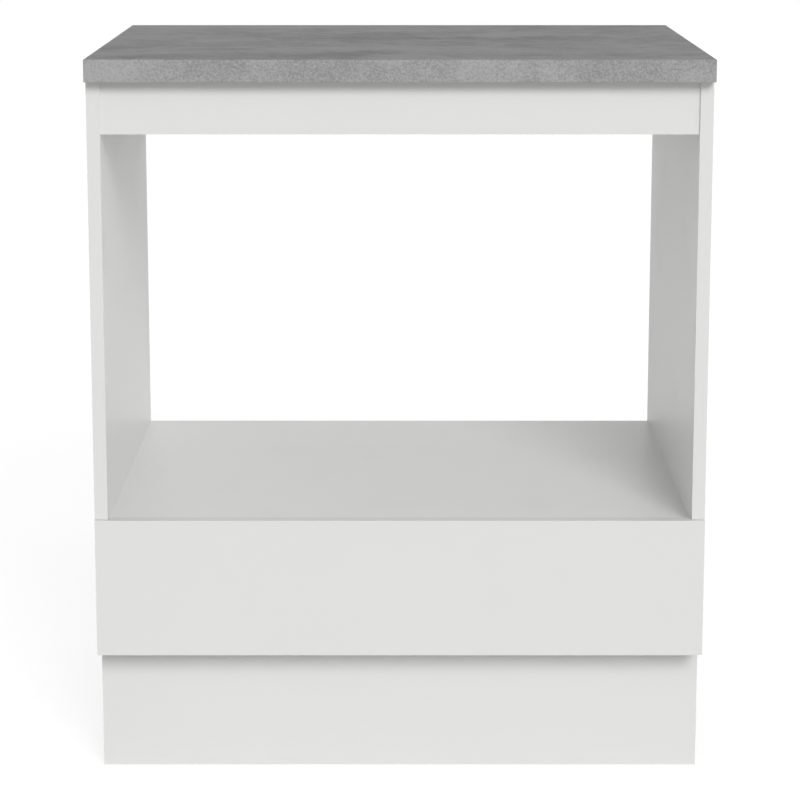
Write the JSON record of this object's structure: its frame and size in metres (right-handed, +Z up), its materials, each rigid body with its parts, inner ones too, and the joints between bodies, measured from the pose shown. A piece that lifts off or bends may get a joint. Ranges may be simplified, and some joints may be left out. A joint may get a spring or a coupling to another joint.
{
  "type": "kitchen base cabinet",
  "caption": "Kitchen base cabinet with a concrete-look worktop, an open appliance niche, a handleless drawer below it and a recessed plinth on adjustable legs.",
  "frame": {"origin": "middle of the footprint on the floor, under the feet, at their rest setting", "axes": "+Z up, +Y to the wall behind, -Y to the drawer front, +X to the right seen from the front"},
  "size_m": [0.7, 0.58, 0.838],
  "materials": {
    "white_melamine": "white melamine-faced board, fine satin",
    "white_edge_band": "white plastic edge band, satin",
    "chipboard_core": "raw chipboard",
    "concrete_laminate": "concrete-look laminate, matt",
    "concrete_edging": "concrete-look edging strip, matt",
    "zinc_steel": "zinc-plated steel",
    "black_plastic": "moulded black plastic",
    "white_plastic": "moulded white plastic",
    "beech": "beech dowel",
    "clear_rubber": "translucent soft bumper"
  },
  "bodies": {
    "cabinet": {"worktop_core": "chipboard_core", "worktop_laminate": "concrete_laminate", "worktop_front_edging": "concrete_edging", "worktop_left_edging": "concrete_edging", "worktop_right_edging": "concrete_edging", "side_panel_left": "white_melamine", "side_panel_right": "white_melamine", "side_edging_left": "white_edge_band", "side_edging_right": "white_edge_band", "niche_floor": "white_melamine", "niche_floor_edging": "white_edge_band", "bottom_board": "white_melamine", "top_front_rail": "white_melamine", "top_back_rail": "white_melamine", "lower_back_panel": "white_melamine", "cam_locks": "zinc_steel", "cam_bolts": "zinc_steel", "carcass_dowels": "beech", "cam_caps": "white_plastic", "worktop_brackets": "zinc_steel", "worktop_screws": "zinc_steel", "leg_front_left": "black_plastic", "leg_front_right": "black_plastic", "leg_back_left": "black_plastic", "leg_back_right": "black_plastic", "leg_screws": "zinc_steel", "plinth_board": "white_melamine", "plinth_clip_left": "black_plastic", "plinth_clip_right": "black_plastic", "plinth_clip_screws": "zinc_steel", "slide_cabinet_member_left": "zinc_steel", "slide_cabinet_member_right": "zinc_steel", "slide_cabinet_screws": "zinc_steel"},
    "drawer": {"drawer_front": "white_melamine", "drawer_inner_front": "white_melamine", "drawer_side_left": "white_melamine", "drawer_side_right": "white_melamine", "drawer_back": "white_melamine", "drawer_bottom": "white_melamine", "drawer_front_screws": "zinc_steel", "drawer_box_dowels": "beech", "drawer_bumpers": "clear_rubber", "slide_drawer_member_left": "zinc_steel", "slide_drawer_member_right": "zinc_steel", "slide_drawer_screws": "zinc_steel", "slide_release_levers": "black_plastic"},
    "slide_middle_left": {"slide_middle_member_left": "zinc_steel"},
    "outer_cage_left": {"slide_outer_cage_left": "zinc_steel", "slide_outer_balls_left": "zinc_steel"},
    "inner_cage_left": {"slide_inner_cage_left": "zinc_steel", "slide_inner_balls_left": "zinc_steel"},
    "slide_middle_right": {"slide_middle_member_right": "zinc_steel"},
    "outer_cage_right": {"slide_outer_cage_right": "zinc_steel", "slide_outer_balls_right": "zinc_steel"},
    "inner_cage_right": {"slide_inner_cage_right": "zinc_steel", "slide_inner_balls_right": "zinc_steel"},
    "foot_front_left": {"foot_front_left": "black_plastic"},
    "foot_front_right": {"foot_front_right": "black_plastic"},
    "foot_back_left": {"foot_back_left": "black_plastic"},
    "foot_back_right": {"foot_back_right": "black_plastic"}
  },
  "joints": [
    {"name": "drawer_slide", "type": "slide", "parent": "cabinet", "child": "drawer", "axis": [0, -1, 0], "range_m": [0, 0.45]},
    {"name": "slide_middle_left_run", "type": "slide", "parent": "cabinet", "child": "slide_middle_left", "axis": [0, -1, 0], "range_m": [0, 0.225]},
    {"name": "outer_cage_left_run", "type": "slide", "parent": "cabinet", "child": "outer_cage_left", "axis": [0, -1, 0], "range_m": [0, 0.1125]},
    {"name": "inner_cage_left_run", "type": "slide", "parent": "cabinet", "child": "inner_cage_left", "axis": [0, -1, 0], "range_m": [0, 0.3375]},
    {"name": "slide_middle_right_run", "type": "slide", "parent": "cabinet", "child": "slide_middle_right", "axis": [0, -1, 0], "range_m": [0, 0.225]},
    {"name": "outer_cage_right_run", "type": "slide", "parent": "cabinet", "child": "outer_cage_right", "axis": [0, -1, 0], "range_m": [0, 0.1125]},
    {"name": "inner_cage_right_run", "type": "slide", "parent": "cabinet", "child": "inner_cage_right", "axis": [0, -1, 0], "range_m": [0, 0.3375]},
    {"name": "foot_front_left_adjust", "type": "slide", "parent": "cabinet", "child": "foot_front_left", "axis": [0, 0, -1], "range_m": [0, 0.02]},
    {"name": "foot_front_right_adjust", "type": "slide", "parent": "cabinet", "child": "foot_front_right", "axis": [0, 0, -1], "range_m": [0, 0.02]},
    {"name": "foot_back_left_adjust", "type": "slide", "parent": "cabinet", "child": "foot_back_left", "axis": [0, 0, -1], "range_m": [0, 0.02]},
    {"name": "foot_back_right_adjust", "type": "slide", "parent": "cabinet", "child": "foot_back_right", "axis": [0, 0, -1], "range_m": [0, 0.02]}
  ],
  "couplings": [
    {"joint": "slide_middle_left_run", "follows": "drawer_slide", "ratio": 0.5},
    {"joint": "outer_cage_left_run", "follows": "drawer_slide", "ratio": 0.25},
    {"joint": "inner_cage_left_run", "follows": "drawer_slide", "ratio": 0.75},
    {"joint": "slide_middle_right_run", "follows": "drawer_slide", "ratio": 0.5},
    {"joint": "outer_cage_right_run", "follows": "drawer_slide", "ratio": 0.25},
    {"joint": "inner_cage_right_run", "follows": "drawer_slide", "ratio": 0.75}
  ]
}
